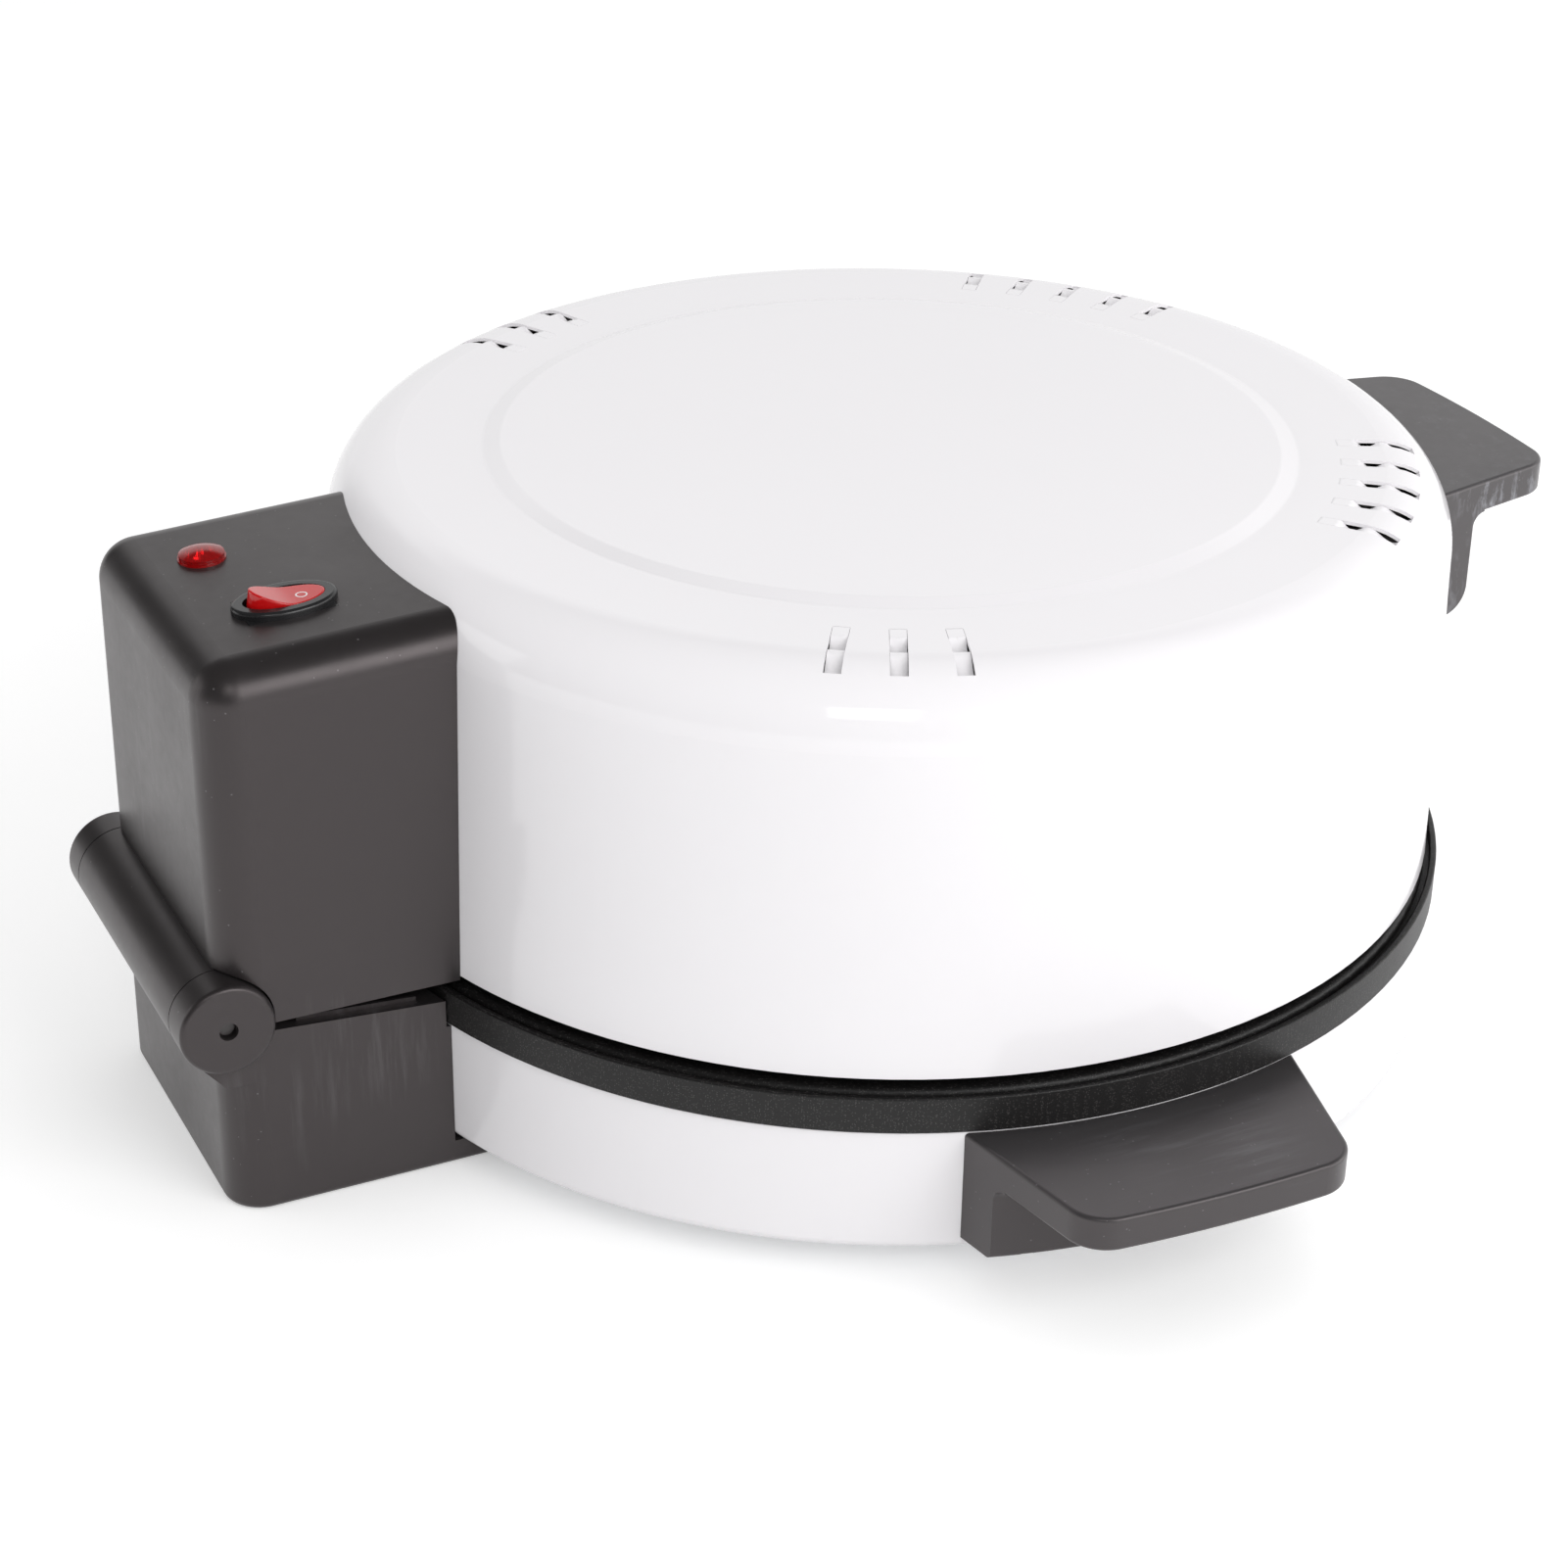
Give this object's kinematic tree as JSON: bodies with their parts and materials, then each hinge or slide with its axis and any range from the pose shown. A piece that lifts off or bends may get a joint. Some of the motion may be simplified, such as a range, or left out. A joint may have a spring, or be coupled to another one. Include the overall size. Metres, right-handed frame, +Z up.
{
  "type": "electric pizza maker",
  "caption": "Round electric pizza maker with a white domed lid on a rear hinge, a black non-stick baking plate, black handles, a red rocker switch and an indicator lamp.",
  "frame": {"origin": "on the counter, on the axis of the round drum, at the centre of the plane that the feet stand on", "axes": "+Z up, +Y towards the hinge at the back, +X to the right for someone in front of the lid handle"},
  "size_m": [0.4172, 0.4422, 0.1745],
  "materials": {
    "painted_white": "gloss",
    "black_plastic": "satin",
    "black_gloss_plastic": "gloss",
    "black_rubber": "matte",
    "nonstick_aluminium": "satin non-stick coat",
    "bright_aluminium": "bright",
    "zinc_steel": "zinc plated",
    "element_steel": "dark oxidised",
    "screw_steel": "zinc plated",
    "pin_steel": "bright",
    "white_ceramic": "matte",
    "brown_ceramic": "satin",
    "red_lens": "translucent gloss",
    "red_rocker": "translucent gloss",
    "blade_brass": "satin"
  },
  "bodies": {
    "base": {"base_shell": "painted_white", "bottom_cover": "zinc_steel", "foot_1": "black_rubber", "foot_2": "black_rubber", "foot_3": "black_rubber", "foot_4": "black_rubber", "foot_screws": "screw_steel", "baking_plate": "nonstick_aluminium", "lower_reflector": "bright_aluminium", "lower_element": "element_steel", "lower_element_insulators": "white_ceramic", "lower_element_terminals": "screw_steel", "element_clamps": "zinc_steel", "thermostat": "brown_ceramic", "lower_hinge_housing": "black_plastic", "lower_housing_cover": "black_plastic", "lower_housing_screws": "screw_steel", "terminal_block": "white_ceramic", "cord_bushing": "black_rubber", "hinge_pin": "pin_steel", "base_handle_left": "black_plastic", "base_handle_right": "black_plastic", "base_handle_screws": "screw_steel"},
    "lid": {"lid_shell": "painted_white", "lid_liner": "bright_aluminium", "upper_element": "element_steel", "upper_element_insulators": "white_ceramic", "upper_element_terminals": "screw_steel", "element_brackets": "zinc_steel", "upper_hinge_housing": "black_plastic", "upper_housing_cover": "black_plastic", "upper_housing_screws": "screw_steel", "lid_handle": "black_plastic", "lid_handle_screws": "screw_steel", "lamp_lens": "red_lens", "lamp_holder": "black_gloss_plastic", "lamp_nut": "black_gloss_plastic", "switch_body": "black_gloss_plastic", "switch_blades": "blade_brass"},
    "rocker": {"rocker": "red_rocker"}
  },
  "joints": [
    {"name": "lid_hinge", "type": "hinge", "parent": "base", "child": "lid", "pos_m": [0, 0.2205, 0.0615], "axis": [-1, 0, 0], "range_deg": [0, 100]},
    {"name": "rocker_tilt", "type": "hinge", "parent": "lid", "child": "rocker", "pos_m": [-0.0185, 0.18745, 0.16342], "axis": [-1, 0, 0], "range_deg": [0, 22]}
  ]
}
